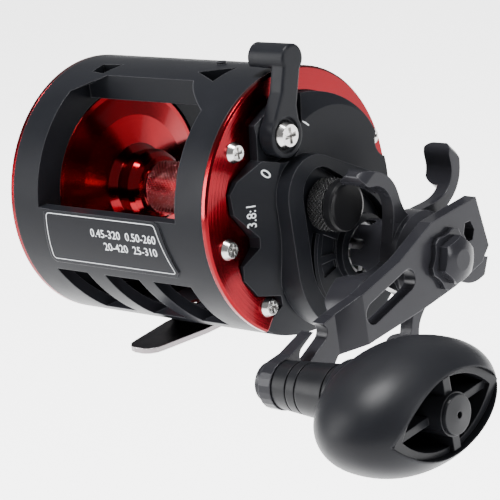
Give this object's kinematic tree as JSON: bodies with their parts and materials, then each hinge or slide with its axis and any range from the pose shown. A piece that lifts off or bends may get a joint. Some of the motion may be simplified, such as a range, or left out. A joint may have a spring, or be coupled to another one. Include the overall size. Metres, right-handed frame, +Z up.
{
  "type": "trolling reel",
  "caption": "Star-drag fishing reel with a one-piece ring frame, waisted spool, clutch lever, geared crank handle with an oval knob, and a long reel foot.",
  "frame": {"origin": "middle of the underside of the reel foot", "axes": "+X along the spool axis towards the handle, +Y to the front where the line leaves, +Z up"},
  "size_m": [0.1796, 0.1239, 0.097],
  "materials": {
    "frame_plastic": "satin moulded",
    "lever_plastic": "satin moulded",
    "red_anodised": "bright red anodised",
    "foot_steel": "polished stainless",
    "screw_chrome": "bright",
    "inner_plastic": "plain moulded",
    "steel_parts": "machined",
    "gear_brass": "machined",
    "drag_fibre": "woven drag disc",
    "spring_bronze": "sheet",
    "black_anodised": "satin black anodised",
    "bright_steel": "bright",
    "grip_rubber": "soft touch",
    "knob_plastic": "moulded"
  },
  "bodies": {
    "reel": {"frame": "frame_plastic", "reel_foot": "foot_steel", "foot_rivets": "foot_steel", "right_trim_ring": "red_anodised", "left_trim_ring": "red_anodised", "right_plate_screws": "screw_chrome", "left_plate_screws": "screw_chrome", "gear_cover": "frame_plastic", "gear_plate": "inner_plastic", "left_side_plate": "frame_plastic", "left_inner_plate": "inner_plastic", "one_way_bearing": "steel_parts", "left_bearing_outer_race": "steel_parts", "right_bearing_outer_race": "steel_parts", "shaft_bearing_outer_race": "steel_parts", "right_tension_washer": "spring_bronze", "left_tension_washer": "spring_bronze", "yoke_springs": "steel_parts"},
    "spool": {"spool": "red_anodised", "spool_shaft": "steel_parts", "left_bearing_inner_race": "steel_parts", "right_bearing_inner_race": "steel_parts", "click_wheel": "steel_parts"},
    "yoke": {"clutch_yoke": "inner_plastic"},
    "pinion": {"pinion_gear": "gear_brass"},
    "lever": {"clutch_lever": "lever_plastic", "lever_screw": "screw_chrome", "clutch_cam": "steel_parts"},
    "handle": {"gear_shaft": "steel_parts", "shaft_bearing_inner_race": "steel_parts", "main_gear": "gear_brass", "drag_fibre_washers": "drag_fibre", "drag_metal_washers": "steel_parts", "drag_pressure_plate": "steel_parts", "drag_sleeve": "steel_parts", "drag_spring_washers": "steel_parts", "ratchet_wheel": "steel_parts", "handle_spacer": "steel_parts", "handle_arm": "black_anodised", "lock_plate": "bright_steel", "handle_nut": "bright_steel", "knob_axle": "steel_parts"},
    "star": {"star_drag": "black_anodised", "drag_cup": "black_anodised"},
    "knob": {"knob_core": "knob_plastic", "knob_grip": "grip_rubber", "knob_cap": "knob_plastic"},
    "dog": {"anti_reverse_dog": "steel_parts"},
    "cap": {"cast_control_cap": "black_anodised"},
    "clicker": {"click_button": "frame_plastic"}
  },
  "joints": [
    {"name": "handle_turn", "type": "hinge", "parent": "reel", "child": "handle", "pos_m": [0, 0.01306, 0.0213], "axis": [1, 0, 0], "continuous": true},
    {"name": "spool_spin", "type": "hinge", "parent": "reel", "child": "spool", "pos_m": [0, 0, 0.0385], "axis": [1, 0, 0], "continuous": true},
    {"name": "lever_throw", "type": "hinge", "parent": "reel", "child": "lever", "pos_m": [0, -0.0096, 0.0609], "axis": [1, 0, 0], "range_deg": [0, 40]},
    {"name": "yoke_slide", "type": "slide", "parent": "reel", "child": "yoke", "axis": [1, 0, 0], "range_m": [0, 0.00122], "deforming": ["yoke_springs"]},
    {"name": "pinion_spin", "type": "hinge", "parent": "yoke", "child": "pinion", "pos_m": [0, 0, 0.0385], "axis": [1, 0, 0], "continuous": true},
    {"name": "star_turn", "type": "hinge", "parent": "handle", "child": "star", "pos_m": [0, 0.01306, 0.0213], "axis": [1, 0, 0], "range_deg": [-360, 360]},
    {"name": "knob_spin", "type": "hinge", "parent": "handle", "child": "knob", "pos_m": [0, -0.0532, 0.0082], "axis": [1, 0, 0], "continuous": true},
    {"name": "dog_tilt", "type": "hinge", "parent": "reel", "child": "dog", "pos_m": [0, 0.00175, 0.02587], "axis": [1, 0, 0], "range_deg": [-18, 0]},
    {"name": "cap_turn", "type": "hinge", "parent": "reel", "child": "cap", "pos_m": [0, 0, 0.0385], "axis": [1, 0, 0], "range_deg": [-360, 360]},
    {"name": "click_slide", "type": "slide", "parent": "reel", "child": "clicker", "axis": [0, 1, 0], "range_m": [0, 0.003]}
  ],
  "couplings": [
    {"joint": "spool_spin", "follows": "handle_turn", "ratio": -3.8},
    {"joint": "pinion_spin", "follows": "handle_turn", "ratio": -3.8},
    {"joint": "yoke_slide", "follows": "lever_throw", "m_per_rad": 0.0017189}
  ]
}
